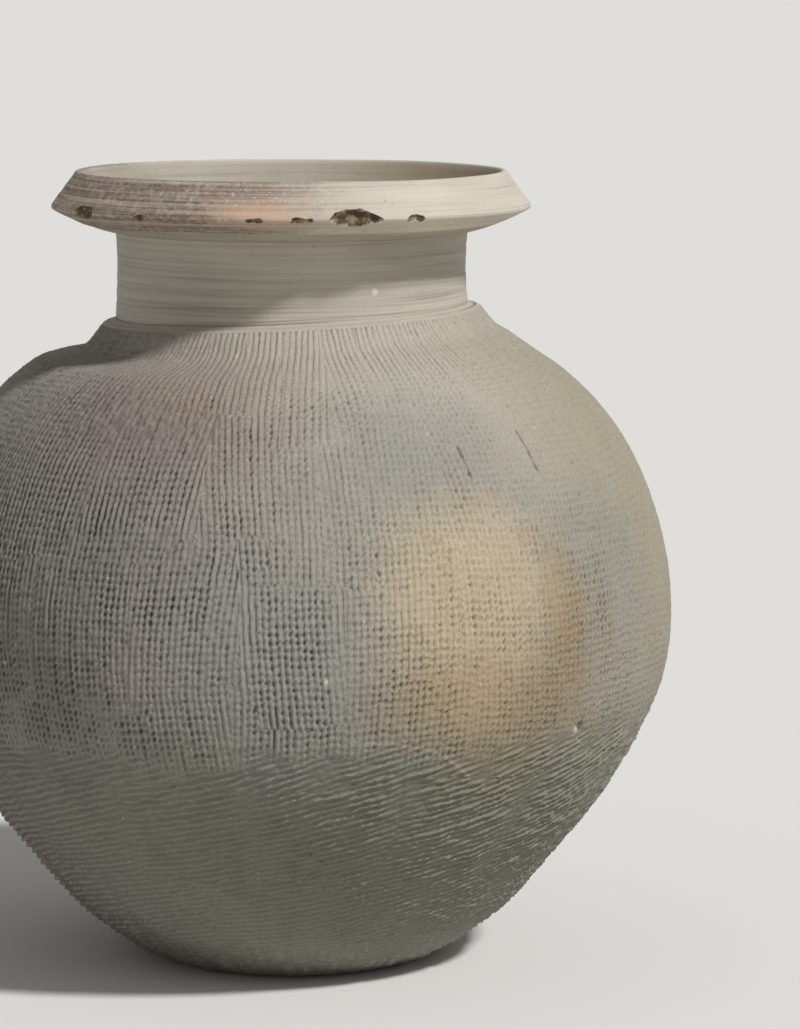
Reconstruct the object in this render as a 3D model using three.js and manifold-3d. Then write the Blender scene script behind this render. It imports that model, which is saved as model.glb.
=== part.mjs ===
// Cord-marked storage jar: a wide body raised in courses of clay, a short turned neck, and an
// everted, bevelled rim. Each course, the neck and the rim is one piece, luted to the next.
// Millimetres, +Z up. The jar stands on z = 0 with its axis on Z; the front faces -Y.
import * as THREE from "three";
import { mergeVertices } from "three/addons/utils/BufferGeometryUtils.js";
import Module from "manifold-3d";

const wasm = await Module();
wasm.setup();

const { degToRad, lerp, smoothstep } = THREE.MathUtils;

// Driving sizes

// The rounded body: outside radius at the belly, height up to the neck, thickness of the clay.
const body = { radius: 144.5, height: 241.5, wall: 7 };

// The flat resting face under the body.
const base = { radius: 47.5 };

// The body's outline between resting face and neck, at the joints between courses:
// share of the belly's radius, share of the body's height.
const OUTLINE = [
  [0.554, 0.073],
  [0.727, 0.189],
  [0.872, 0.306],
  [0.976, 0.439],
  [1, 0.582],
  [0.952, 0.722],
  [0.844, 0.849],
  [0.675, 0.947],
];

// Joints slope: the inner edge of each sits lower than the outer edge by this share of a course.
const JOINT_SLOPE = 0.16;

const neck = {
  footRadius: 67.3,
  waistRadius: 66,
  topRadius: 66.6,
  wall: 6.8,
  // Heights above the top of the body.
  waistRise: 22.5,
  height: 35.5,
  // How far the sloping joints at the neck's foot and top drop from outside to inside.
  footDrop: 3,
  topDrop: 3,
  // The neck was joined on a little out of level: rise per millimetre towards +X.
  lean: 0.045,
};

// The band of clay that fills the angle between shoulder and neck: its height against the neck,
// the nearly level shelf along its top, and the share of the top course that it covers.
const band = { rise: 5.5, shelf: 4.3, shelfDrop: 1.3, cover: 0.5 };

// The fine groove turned into the neck just above the band.
const groove = { depth: 0.4, height: 1 };

const rim = {
  // Heights above the top of the neck.
  height: 23,
  edgeRise: 9.9,
  // The crest, and how far the sharp lower edge stands out beyond it.
  crestRadius: 81.2,
  crestRound: 1.4,
  overhang: 9.5,
  edgeRound: 1.3,
  // How far the inner flare and the underside sag below straight lines.
  flareSag: 2.2,
  undersideSag: 1,
};

// Chips knocked off the rim's lower edge: place round the jar in degrees, length along the edge,
// depth, and rise above the edge.
const CHIPS = [
  { place: -75, length: 21, depth: 5.2, rise: -0.4 },
  { place: -60, length: 8, depth: 2.4, rise: -1 },
  { place: -88, length: 8, depth: 2, rise: -0.8 },
  { place: -98, length: 6, depth: 1.4, rise: -1 },
  { place: -127, length: 6, depth: 1.7, rise: -1 },
  { place: -148, length: 15, depth: 4, rise: -0.2 },
];
const CHIP_TILT = 20;

// Directions in degrees where the rim's rounded edges meet its underside, bevel and flare.
const EDGE_TURN = { underside: -70, bevel: 38, flare: 142 };

// Facets round the jar, along each face of a course, along the rim, and round and up a chip.
const FACETS = { round: 60, outer: 4, inner: 3, corner: 4, flare: 4, chip: [10, 6] };

const CLAY = {
  base: { color: 0x6a655c, roughness: 0.92 },
  body: { color: 0x8f8a80, roughness: 0.9 },
  band: { color: 0xb5ada0, roughness: 0.85 },
  neck: { color: 0xb4ac9d, roughness: 0.82 },
  rim: { color: 0xbfb6a6, roughness: 0.84 },
};

// Outlines are points (radius, height).
const at = (radius, height) => new THREE.Vector2(radius, height);

// The counts from 0 to 1 in equal steps.
const steps = (count) => Array.from({ length: count + 1 }, (_, i) => i / count);

// The body's outer line

const joints = [
  at(base.radius, 0),
  ...OUTLINE.map(([radius, height]) => at(radius * body.radius, height * body.height)),
  at(neck.footRadius, body.height),
];
const COURSES = joints.length - 1;

// One course's outer face: a cubic between its joints, aimed along the line through the joints
// on either side. The floor is level, so the joint before the first mirrors the second.
function courseCurve(course) {
  const from = joints[course];
  const to = joints[course + 1];
  const before = joints[course - 1] ?? at(2 * from.x - to.x, to.y);
  const after = joints[course + 2] ?? to;
  const reach = 6;
  const leave = to.clone().sub(before).divideScalar(reach).add(from);
  const arrive = from.clone().sub(after).divideScalar(reach).add(to);
  return new THREE.CubicBezierCurve(from, leave, arrive, to);
}

const curves = joints.slice(1).map((_, course) => courseCurve(course));

// A point on the outer face, or `depth` inside it. `along` counts courses up from the edge of
// the resting face; below 0 it runs in under the floor.
function faceAt(along, depth = 0) {
  if (along < 0) {
    const inward = along * (joints[1].x - joints[0].x);
    return at(joints[0].x + inward, joints[0].y + depth);
  }
  const course = Math.min(Math.floor(along), COURSES - 1);
  const tangent = curves[course].getTangent(along - course);
  const inward = at(-tangent.y, tangent.x).multiplyScalar(depth);
  return curves[course].getPoint(along - course).add(inward);
}

const outerAt = (along) => faceAt(along);
const innerAt = (along) => faceAt(along, body.wall);

// Where neighbours meet

const neckTopHeight = body.height + neck.height;
const waistHeight = body.height + neck.waistRise;
const bandHeight = body.height + band.rise;
const edgeRadius = rim.crestRadius + rim.overhang;
const edgeHeight = neckTopHeight + rim.edgeRise;
const crestHeight = neckTopHeight + rim.height;

const neckFoot = {
  outer: at(neck.footRadius, body.height),
  inner: at(neck.footRadius - neck.wall, body.height - neck.footDrop),
};
const neckTop = {
  outer: at(neck.topRadius, neckTopHeight),
  inner: at(neck.topRadius - neck.wall, neckTopHeight - neck.topDrop),
};
const bandTop = at(neck.footRadius, bandHeight);
const bandStart = COURSES - band.cover;

// Turning an outline into a solid

// How much of the neck's lean reaches a height: none below the top course, all of it from the
// band's lower edge to its top, and none again at the neck's waist.
function leanShare(height) {
  const grooveTop = bandHeight + groove.height;
  const shoulder = smoothstep(height, joints[COURSES - 1].y, outerAt(bandStart).y);
  return shoulder * (1 - smoothstep(height, grooveTop, waistHeight));
}

// Turns an outline, listed up its outside first, about the Z axis, then leans it.
function turned(outline) {
  const onAxis = outline[0].x === 0;
  const closed = onAxis ? outline : [...outline, outline[0]];
  const geometry = new THREE.LatheGeometry(closed, FACETS.round);
  geometry.rotateX(Math.PI / 2);
  const place = geometry.attributes.position;
  for (let i = 0; i < place.count; i += 1) {
    const height = place.getZ(i);
    place.setZ(i, height + neck.lean * leanShare(height) * place.getX(i));
  }
  return geometry;
}

// Outlines

function baseOutline() {
  return [at(0, 0), outerAt(0), innerAt(-JOINT_SLOPE), at(0, body.wall)];
}

function courseOutline(course) {
  const outer = steps(FACETS.outer).map((step) => course + step);
  const inner = steps(FACETS.inner).map((step) => course + 1 - JOINT_SLOPE - step);
  if (course < COURSES - 1) return [...outer.map(outerAt), ...inner.map(innerAt)];
  // The top course ends under the neck.
  return [...outer.map(outerAt), neckFoot.inner, ...inner.map(innerAt)];
}

// The band lies on the top course's own steps, so the two fit.
function bandOutline() {
  const shelfEdge = at(neck.footRadius + band.shelf, bandHeight - band.shelfDrop);
  const covered = steps(FACETS.outer * band.cover).map((step) => lerp(COURSES, bandStart, step));
  return [...covered.map(outerAt), shelfEdge, bandTop];
}

function neckOutline() {
  const grooveBottom = at(neck.footRadius - groove.depth, bandHeight + groove.height / 2);
  const grooveTop = at(neck.footRadius - groove.depth / 2, bandHeight + groove.height);
  const flank = at(lerp(neck.waistRadius, neck.footRadius, 0.3), lerp(grooveTop.y, waistHeight, 0.5));
  const waist = at(neck.waistRadius, waistHeight);
  const inside = [waist, flank].map((point) => at(point.x - neck.wall, point.y));
  const outside = [bandTop, grooveBottom, grooveTop, flank, waist];
  return [neckFoot.outer, ...outside, neckTop.outer, neckTop.inner, ...inside, neckFoot.inner];
}

// Points round a rounded edge, from one direction to another about its centre.
function roundedEdge(centre, radius, from, to) {
  return steps(FACETS.corner).map((step) => {
    const direction = degToRad(lerp(from, to, step));
    return at(Math.cos(direction), Math.sin(direction)).multiplyScalar(radius).add(centre);
  });
}

// Points between two others, on a line that sags in the middle.
function saggingLine(from, to, sag, count) {
  return steps(count)
    .slice(1, -1)
    .map((step) => from.clone().lerp(to, step).sub(at(0, sag * Math.sin(Math.PI * step))));
}

function rimOutline() {
  const edgeCentre = at(edgeRadius - rim.edgeRound, edgeHeight);
  const crestCentre = at(rim.crestRadius - rim.crestRound / 2, crestHeight - rim.crestRound);
  const edge = roundedEdge(edgeCentre, rim.edgeRound, EDGE_TURN.underside, EDGE_TURN.bevel);
  const crest = roundedEdge(crestCentre, rim.crestRound, EDGE_TURN.bevel, EDGE_TURN.flare);
  const underside = saggingLine(neckTop.outer, edge[0], rim.undersideSag, 2);
  const flare = saggingLine(crest.at(-1), neckTop.inner, rim.flareSag, FACETS.flare);
  return [neckTop.outer, ...underside, ...edge, ...crest, ...flare, neckTop.inner];
}

// Chips

function solidOf(geometry) {
  geometry.deleteAttribute("normal");
  geometry.deleteAttribute("uv");
  const merged = mergeVertices(geometry);
  const vertProperties = merged.attributes.position.array;
  const triVerts = new Uint32Array(merged.index.array);
  return new wasm.Manifold(new wasm.Mesh({ numProp: 3, vertProperties, triVerts }));
}

function geometryOf(solid) {
  const { vertProperties, triVerts } = solid.getMesh();
  const geometry = new THREE.BufferGeometry();
  geometry.setAttribute("position", new THREE.BufferAttribute(vertProperties, 3));
  geometry.setIndex(new THREE.BufferAttribute(triVerts, 1));
  geometry.computeVertexNormals();
  return geometry;
}

// What a chip took away: a flattened ball centred just outside the rim's edge.
function chipSolid({ place, length, depth, rise }) {
  const ball = new THREE.SphereGeometry(1, ...FACETS.chip);
  ball.scale(depth, length / 2, depth);
  ball.rotateY(degToRad(CHIP_TILT));
  ball.translate(edgeRadius + depth / 4, 0, edgeHeight + rise);
  ball.rotateZ(degToRad(place));
  return solidOf(ball);
}

function chippedRim() {
  const whole = solidOf(turned(rimOutline()));
  return geometryOf(CHIPS.reduce((left, chip) => left.subtract(chipSolid(chip)), whole));
}

// The jar

const jar = new THREE.Group();
jar.name = "pottery_jar";

function add(name, geometry, clay) {
  const mesh = new THREE.Mesh(geometry, new THREE.MeshStandardMaterial({ ...clay, metalness: 0 }));
  mesh.name = name;
  jar.add(mesh);
}

add("base_disc", turned(baseOutline()), CLAY.base);
for (let course = 0; course < COURSES; course += 1) {
  add(`wall_course_${course + 1}`, turned(courseOutline(course)), CLAY.body);
}
add("neck_seam_band", turned(bandOutline()), CLAY.band);
add("neck_collar", turned(neckOutline()), CLAY.neck);
add("rim_flange", chippedRim(), CLAY.rim);

export default jar;
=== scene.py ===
"""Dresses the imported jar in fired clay: a base, nine cord-marked wall courses, the band over the
neck's seam, a turned neck and a chipped rim, on a plain studio stage."""

import math

import bpy
import numpy as np
from bpy.props import FloatProperty, FloatVectorProperty, PointerProperty
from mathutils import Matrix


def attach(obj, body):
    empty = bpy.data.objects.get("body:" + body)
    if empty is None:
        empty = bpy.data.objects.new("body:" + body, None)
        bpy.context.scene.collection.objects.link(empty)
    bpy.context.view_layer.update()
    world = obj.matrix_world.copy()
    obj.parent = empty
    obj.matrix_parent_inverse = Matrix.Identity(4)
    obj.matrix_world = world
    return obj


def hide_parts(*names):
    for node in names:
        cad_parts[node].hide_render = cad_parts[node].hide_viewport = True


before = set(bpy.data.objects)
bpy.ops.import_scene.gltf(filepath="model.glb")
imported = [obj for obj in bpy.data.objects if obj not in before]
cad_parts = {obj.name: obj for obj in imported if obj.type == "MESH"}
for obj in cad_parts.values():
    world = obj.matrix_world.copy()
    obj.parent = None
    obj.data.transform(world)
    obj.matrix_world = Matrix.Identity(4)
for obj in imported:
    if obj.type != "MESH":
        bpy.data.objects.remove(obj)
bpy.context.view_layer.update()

bl_info = {
    "name": "Cord-marked jar",
    "version": (1, 0, 0),
    "blender": (4, 5, 0),
    "location": "View3D > Sidebar > Jar",
    "description": "Builds the clay surfaces and the stage of a cord-marked storage jar",
    "category": "Object",
}

MM = 0.001
TURN = 2 * np.pi
BODY = "root"

# The body's outline where one clay course meets the next: share of the belly's radius, share of
# the body's height.
OUTLINE = (
    (0.554, 0.073),
    (0.727, 0.189),
    (0.872, 0.306),
    (0.976, 0.439),
    (1, 0.582),
    (0.952, 0.722),
    (0.844, 0.849),
    (0.675, 0.947),
)
COURSES = len(OUTLINE) + 1

# Joints slope inwards and down by this share of a course.
JOINT_SLOPE = 0.16

# How many courses up the band over the seam begins, and the angle at which its slope meets its
# shelf.
BAND_START = COURSES - 0.5
BAND_STEEPNESS = math.radians(49)

# Chips off the rim's lower edge: place round the jar in degrees, length, depth and rise above
# the edge in millimetres.
CHIPS = (
    (-75, 21, 5.2, -0.4),
    (-60, 8, 2.4, -1.0),
    (-88, 8, 2.0, -0.8),
    (-98, 6, 1.4, -1.0),
    (-127, 6, 1.7, -1.0),
    (-148, 15, 4.0, -0.2),
)
CHIP_TILT = math.radians(20)

# The rim's columns lie closer together round this middle and this far to both sides of it, in
# degrees. Their density there is 1 plus this crowding, against 1 elsewhere.
CHIPS_MIDDLE = -108
CHIPS_SPREAD = 62
CHIPS_CROWDING = 1.5

# Which way a point in a chip moves: inwards and up.
CHIP_INWARDS = 0.8
CHIP_UP = 0.6

# Points on the body are written as (degrees round the jar, millimetres above the table). A
# speck's third number is its radius in millimetres. The spall deepens from its rim's radius in
# to its floor's.
FRONT = -90
SLITS = (((-60.6, 206.5), (-59.9, 195.7)), ((-46.6, 210.0), (-46.0, 195.3)))
SLIT_DEPTH = 1 * MM
SLIT_HALF_WIDTH = 0.38 * MM
CRACK = ((-82.2, 105.7), (-74.8, 103.8), (-69.2, 100.6), (-66.4, 97), (-63.6, 92.1), (-61.4, 87.2))
CRACK_DEPTH = 0.15 * MM
CRACK_HALF_WIDTH = 0.3 * MM
CRACK_PALENESS = 0.3
SPALL = (-41.8, 102.8)
SPALL_DEPTH = 0.8 * MM
SPALL_RIM = 2.6 * MM
SPALL_FLOOR = 1.2 * MM
PALE_SPECKS = ((-85.2, 127.6, 0.8), (-42.6, 101.5, 1.5))

# A cut this deep gets as much painted shade as a full cord mark.
DARK_CUT = 0.75 * MM

# The paddle's work: rows of upright patches from the shelf down, the width of the top row's
# patches as a share of the others', patches of oblique marks round the jar, and strokes round it.
MARK_ROWS = 12
TOP_PATCH_SHARE = 0.4
OBLIQUE_PATCHES = 15
STROKES = 23

# Wear grows to the right, by 1 from the front to this angle in degrees, and upwards, by 1 for
# each such rise above the height where it starts.
SIDE_ANGLE = 40
WEAR_START = 150 * MM
WEAR_RISE = 60 * MM

# The body's mesh: columns round it, rows up the outside of each course from the lowest to the
# top one, and rows up the inside of each.
AROUND = 1600
COURSE_ROWS = (28, 43, 57, 57, 57, 57, 57, 57, 29)
INNER_ROWS = 4

# Columns round the neck and the rim, and rows up the neck's outside and inside.
NECK_COLUMNS = 800
NECK_ROWS = (66, 10)

# Rows across each part of the band's and the rim's section, rings across the base's underside
# and its top, and rows in the table behind the noise.
BAND_ROWS = {"slope": 23, "corner": 5, "shelf": 14, "hidden": 4}
RIM_ROWS = {"underside": 18, "edge": 8, "bevel": 36, "crest": 8, "flare": 24}
BASE_ROWS = (16, 8)
NOISE_ROWS = 512

# Places along the jar's outline, and angles round the jar, at which a curve is worked out before
# values between them are read off it.
FINE_PLACES = 8001
PLACES = 4001
COARSE_PLACES = 400
ANGLES = 4001

# How strongly the clay reflects.
CLAY_SPECULAR = 0.28

# The camera: focal length in millimetres, place in metres, and how far it looks down and to the
# right, in degrees.
CAMERA_LENS = 157.4
CAMERA_PLACE = (0, -1.705, 0.391)
CAMERA_DOWN = 7.434
CAMERA_RIGHT = 1.381


def number_setting(name, description, default, **settings):
    """A number property; the settings say what it measures."""
    return FloatProperty(name=name, description=description, default=default, **settings)


def length(name, description, default):
    """A length property, in metres."""
    return number_setting(name, description, default, unit="LENGTH", subtype="DISTANCE")


def angle_setting(name, description, degrees):
    """An angle property whose default is given in degrees."""
    return number_setting(name, description, math.radians(degrees), subtype="ANGLE")


def screen(red, green, blue):
    """A colour given by its screen values from 0 to 255, in linear light with full alpha."""
    shares = [value / 255 for value in (red, green, blue)]
    return [s / 12.92 if s <= 0.04045 else ((s + 0.055) / 1.055) ** 2.4 for s in shares] + [1]


def colour(name, description, red, green, blue):
    """A colour property whose default is given by screen values from 0 to 255."""
    default = screen(red, green, blue)
    return FloatVectorProperty(
        name=name, description=description, default=default, subtype="COLOR", size=4, min=0, max=1
    )


class JarSizes(bpy.types.PropertyGroup):
    """The sizes that the surfaces share with the solids"""

    belly_radius: length("Belly radius", "Outside radius at the belly", 144.5 * MM)
    body_height: length("Body height", "Height up to the foot of the neck", 241.5 * MM)
    rest_radius: length("Resting face radius", "Radius of the flat under the jar", 47.5 * MM)
    wall: length("Wall", "Thickness of the body's clay", 7 * MM)
    neck_foot: length("Neck foot radius", "Outside radius at the foot of the neck", 67.3 * MM)
    neck_waist: length("Neck waist radius", "Outside radius at the waist", 66 * MM)
    neck_top: length("Neck top radius", "Outside radius under the rim", 66.6 * MM)
    neck_wall: length("Neck wall", "Thickness of the neck's clay", 6.8 * MM)
    waist_rise: length("Waist rise", "Height of the waist above the body", 22.5 * MM)
    neck_height: length("Neck height", "Height of the neck above the body", 35.5 * MM)
    foot_drop: length("Foot joint drop", "Fall of the joint at the neck's foot", 3 * MM)
    top_drop: length("Top joint drop", "Fall of the joint at the neck's top", 3 * MM)
    band_rise: length("Band rise", "Height of the band's top above the body", 5.5 * MM)
    band_shelf: length("Band shelf", "Width of the shelf along the band's top", 4.3 * MM)
    shelf_drop: length("Shelf drop", "Fall of the shelf from the neck outwards", 1.3 * MM)
    rim_height: length("Rim height", "Height of the crest above the neck", 23 * MM)
    edge_rise: length("Edge rise", "Height of the rim's lower edge above the neck", 9.9 * MM)
    crest_radius: length("Crest radius", "Radius at the rim's crest", 81.2 * MM)
    overhang: length("Overhang", "How far the lower edge stands out past the crest", 9.5 * MM)
    edge_round: length("Edge round", "Rounding of the rim's lower edge", 1.3 * MM)
    crest_round: length("Crest round", "Rounding of the crest", 1.4 * MM)
    flare_sag: length("Flare sag", "Hollow of the flare inside the rim", 2.2 * MM)
    underside_sag: length("Underside sag", "Hollow of the rim's underside", 1 * MM)
    lean: number_setting("Neck lean", "Rise of the neck's seam for each unit towards +X", 0.045)


class CordMarks(bpy.types.PropertyGroup):
    """The marks that the cord-wrapped paddle and the turning left"""

    pitch: length("Pitch", "Distance between the upright marks", 2.4 * MM)
    depth: length("Depth", "Depth of a cord mark", 1.2 * MM)
    pit_pitch: length("Pit pitch", "Distance between the pits along a cord mark", 2.9 * MM)
    patch_height: length("Patch height", "Height of one paddle patch", 52 * MM)
    patch_width: length("Patch width", "Width of one paddle patch", 42 * MM)
    change: length("Change height", "Height at which the marks change direction", 98 * MM)
    oblique_pitch: length("Oblique pitch", "Distance between the oblique marks", 2.9 * MM)
    oblique_climb: number_setting("Oblique climb", "Rise for each unit to the right", 0.27)
    turning: length("Turning lines", "Depth of the lines turned into neck and rim", 0.16 * MM)
    fracture: length("Fracture", "Roughness of the clay in a chip", 0.6 * MM)


class ClayColours(bpy.types.PropertyGroup):
    """The colours of the fired clay"""

    grey: colour("Grey", "The body's warm grey", 165, 159, 148)
    blue: colour("Blue-grey", "Cool grey patches", 143, 141, 134)
    cream: colour("Cream", "Pale clay of the shoulder and neck", 184, 177, 164)
    beige: colour("Beige", "Brownish clay at the right", 156, 148, 127)
    # Darker grey: painted shade on the left side, a smoky spot on the belly, and the base.
    smoke_and_shade: colour("Smoke And Shade", "Darker clay at the left", 118, 113, 109)
    # Olive grey, darker as painted shade of the lower body; also the base's colour.
    umber_and_shade: colour("Umber", "Olive clay low on the body", 125, 125, 110)
    cloud: colour("Fire cloud", "The buff patch on the belly", 188, 172, 145)
    ochre: colour("Ochre", "The yellow-brown edge of the patch", 156, 136, 104)
    rust: colour("Rust", "Small rusty spots", 172, 126, 84)
    plum: colour("Plum", "Purple-brown bloom on the left shoulder", 126, 108, 103)
    # Soil in the pits, also the painted shade of pits, grooves and cuts, and the dark specks.
    soil_and_shade: colour("Soil And Shade", "Dark soil in the pits", 52, 47, 43)
    pale: colour("Pale", "Fresh scratches and specks", 216, 206, 186)
    rim: colour("Rim", "The rim's cream face", 200, 190, 174)
    broken: colour("Broken clay", "Dark brown clay in the rim's chips", 84, 68, 54)
    rim_plum: colour("Rim plum", "Purple-brown stain on the rim", 124, 104, 93)
    rim_blush: colour("Rim blush", "Pinkish stain on the rim", 194, 161, 138)
    flare: colour("Flare", "Grey clay inside the rim", 169, 163, 152)


class StageSettings(bpy.types.PropertyGroup):
    """The floor, the lamp and the room's light"""

    floor: colour("Floor", "The plain pale floor", 232, 231, 228)
    room: number_setting("Room light", "Strength of the even light", 0.28)
    lamp: number_setting("Lamp", "Strength of the soft lamp", 2.75)
    lamp_side: angle_setting("Lamp side", "Direction round the jar", -40)
    lamp_height: angle_setting("Lamp height", "Height over the floor", 46)
    lamp_softness: angle_setting("Lamp softness", "Width of the lamp", 6)


# Plain functions of arrays


def lerp(low, high, share):
    """The value at `share` of the way from low to high."""
    return low + (high - low) * share


def smooth(low, high, value):
    """0 up to low, 1 from high, and the cubic 3t^2 - 2t^3 between."""
    t = np.clip((value - low) / (high - low), 0, 1)
    return t * t * (3 - 2 * t)


def bell(value, width):
    """1 at zero, falling as exp(-(value / width)^2)."""
    return np.exp(-((value / width) ** 2))


def wrapped(angle):
    """The same angle between minus and plus half a turn."""
    return (angle + np.pi) % TURN - np.pi


def lattice_noise(turn, up, round_cells, cell, seed):
    """Smooth noise from -1 to 1 that closes on itself round the jar.

    Random values sit on a lattice of `round_cells` cells round and one per `cell` up; the four
    round a point are blended with cubic steps.
    """
    table = np.random.default_rng(seed).uniform(-1, 1, (NOISE_ROWS, round_cells))
    across = turn / TURN * round_cells
    climb = up / cell
    column, row = np.floor(across), np.floor(climb)
    to_right, to_top = smooth(0, 1, across - column), smooth(0, 1, climb - row)
    column, row = column.astype(int) % round_cells, row.astype(int) % NOISE_ROWS
    next_column, next_row = (column + 1) % round_cells, (row + 1) % NOISE_ROWS
    lower = lerp(table[row, column], table[row, next_column], to_right)
    upper = lerp(table[next_row, column], table[next_row, next_column], to_right)
    return lerp(lower, upper, to_top)


def side_normals(slope):
    """Unit normals to the right of rows of slopes, so outwards from a line that runs up."""
    slope = slope / np.linalg.norm(slope, axis=1, keepdims=True)
    return np.stack([slope[:, 1], -slope[:, 0]], axis=1)


def running_length(points):
    """The length along a line of points from the first to each of them."""
    return np.concatenate([[0], np.cumsum(np.linalg.norm(np.diff(points, axis=0), axis=1))])


# The jar's outline


def course_joints(sizes):
    """(radius, height) where one course meets the next, from resting edge to neck."""
    between = np.array(OUTLINE) * (sizes.belly_radius, sizes.body_height)
    return np.vstack([(sizes.rest_radius, 0), between, (sizes.neck_foot, sizes.body_height)])


def course_line(along, sizes):
    """Point and outward normal on the courses' outer line, `along` courses up.

    A cubic through the joints whose slope at each is half the step between its neighbours.
    Below the first joint the line runs level under the floor.
    """
    joints = course_joints(sizes)
    first, second = joints[0], joints[1]
    mirror = (2 * first[0] - second[0], second[1])
    knots = np.vstack([mirror, joints, joints[-1]])
    course = np.clip(np.floor(along).astype(int), 0, COURSES - 1)
    t = (along - course)[:, None]
    a, b, c, d = (knots[course + k] for k in range(4))
    linear, square, cube = c - a, 2 * a - 5 * b + 4 * c - d, 3 * b - a - 3 * c + d
    point = 0.5 * (2 * b + linear * t + square * t**2 + cube * t**3)
    slope = 0.5 * (linear + 2 * square * t + 3 * cube * t**2)
    under = along < 0
    point[under] = first + along[under, None] * np.array([second[0] - first[0], 0])
    slope[under] = (1, 0)
    return point, side_normals(slope)


def shelf_edge(sizes):
    """The outer edge of the band's shelf."""
    height = sizes.body_height + sizes.band_rise - sizes.shelf_drop
    return np.array((sizes.neck_foot + sizes.band_shelf, height))


def face_line(along, sizes):
    """Point and outward normal on the visible face: the courses' line up to the band's lower
    edge, and above it the band's slope.

    The slope is a cubic that leaves along the shoulder and meets the shelf steeply.
    """
    point, normal = course_line(along, sizes)
    foot, foot_normal = course_line(np.array([BAND_START]), sizes)
    edge = shelf_edge(sizes)
    reach = np.linalg.norm(edge - foot)
    leave = reach * np.array((-foot_normal[0, 1], foot_normal[0, 0]))
    arrive = reach * np.array((-math.cos(BAND_STEEPNESS), math.sin(BAND_STEEPNESS)))
    on_band = along > BAND_START
    t = (along[on_band, None] - BAND_START) / (COURSES - BAND_START)
    point[on_band] = (2 * t**3 - 3 * t**2 + 1) * foot + (3 * t**2 - 2 * t**3) * edge
    point[on_band] += (t**3 - 2 * t**2 + t) * leave + (t**3 - t**2) * arrive
    slope = 6 * (t - t**2) * (edge - foot) + (3 * t**2 - 4 * t + 1) * leave
    slope += (3 * t**2 - 2 * t) * arrive
    normal[on_band] = side_normals(slope)
    return point, normal


def fall(along, sizes):
    """Length of the visible face from the shelf's edge down to `along`, summed over short
    steps."""
    places = np.linspace(-1, COURSES + 1, FINE_PLACES)
    run = running_length(face_line(places, sizes)[0])
    return np.interp(COURSES, places, run) - np.interp(along, places, run)


def on_body(degrees, height, sizes):
    """(turn, fall, radius) of the place on the visible face at that turn and height."""
    places = np.linspace(0, COURSES, PLACES)
    point, _ = face_line(places, sizes)
    along = np.interp(height * MM, point[:, 1], places)
    radius = np.interp(height * MM, point[:, 1], point[:, 0])
    return math.radians(degrees), float(fall(along, sizes)), float(radius)


def lean_share(height, sizes):
    """How much of the neck's lean reaches a height: none below the top course, all of it from
    the band's lower edge to its top, and none again at the neck's waist."""
    lower_edge = course_line(np.array([BAND_START]), sizes)[0][0, 1]
    shoulder = smooth(course_joints(sizes)[-2, 1], lower_edge, height)
    groove_top = sizes.body_height + sizes.band_rise + 1 * MM
    return shoulder * (1 - smooth(groove_top, sizes.body_height + sizes.waist_rise, height))


def turned(radius, height, turn, sizes):
    """Points of rows of radius and height turned about Z, then leaned: z gains the lean times
    its share at that height times x."""
    shape = np.broadcast_shapes(radius.shape, height.shape, turn.shape)
    radius, height, turn = (np.broadcast_to(part, shape) for part in (radius, height, turn))
    x = radius * np.cos(turn)
    y = radius * np.sin(turn)
    z = height + sizes.lean * lean_share(height, sizes) * x
    return np.stack([x, y, z], axis=-1)


def raised(point, normal, relief, turn, sizes):
    """A line of points turned about Z and moved along its normals by a relief of its own in
    each column."""
    stand = point[:, None, :] + normal[:, None, :] * relief[:, :, None]
    return turned(stand[:, :, 0], stand[:, :, 1], turn, sizes)


# Meshes


def grid_normals(points):
    """Unit normals of rows of points that close round the jar: the cross product of the step
    to the next column and the step to the next row."""
    across = np.roll(points, -1, axis=1) - np.roll(points, 1, axis=1)
    upwards = np.gradient(points, axis=0)
    normal = np.cross(across, upwards)
    return normal / np.maximum(np.linalg.norm(normal, axis=2, keepdims=True), 1e-12)


def ring_faces(rows, columns, closed=True):
    """Quads between neighbouring rows round the jar; the last row joins the first if closed."""
    count = rows if closed else rows - 1
    row, column = np.meshgrid(np.arange(count), np.arange(columns), indexing="ij")
    above, beside = (row + 1) % rows, (column + 1) % columns
    corners = ((row, column), (row, beside), (above, beside), (above, column))
    return np.stack([r * columns + c for r, c in corners], axis=-1).reshape(-1, 4)


def clay_object(name, points, blocks, normals, layers):
    """A linked, smooth-shaded object from whole arrays.

    `blocks` are arrays of faces with the same count of corners each, and `layers` name a value
    per point for the materials.
    """
    mesh = bpy.data.meshes.new(name)
    loops = np.concatenate([block.ravel() for block in blocks]).astype(np.int32)
    counts = np.concatenate([np.full(len(block), block.shape[1]) for block in blocks])
    starts = np.concatenate([[0], np.cumsum(counts)[:-1]]).astype(np.int32)
    mesh.vertices.add(len(points))
    mesh.vertices.foreach_set("co", points.astype(np.float32).ravel())
    mesh.loops.add(len(loops))
    mesh.loops.foreach_set("vertex_index", loops)
    mesh.polygons.add(len(counts))
    mesh.polygons.foreach_set("loop_start", starts)
    mesh.update(calc_edges=True)
    mesh.polygons.foreach_set("use_smooth", np.ones(len(counts), dtype=bool))
    for layer, values in layers.items():
        field = mesh.attributes.new(layer, "FLOAT", "POINT")
        field.data.foreach_set("value", values.astype(np.float32).ravel())
    mesh.normals_split_custom_set_from_vertices(normals.astype(np.float32))
    made = bpy.data.objects.new(name, mesh)
    bpy.context.scene.collection.objects.link(made)
    return made


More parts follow.
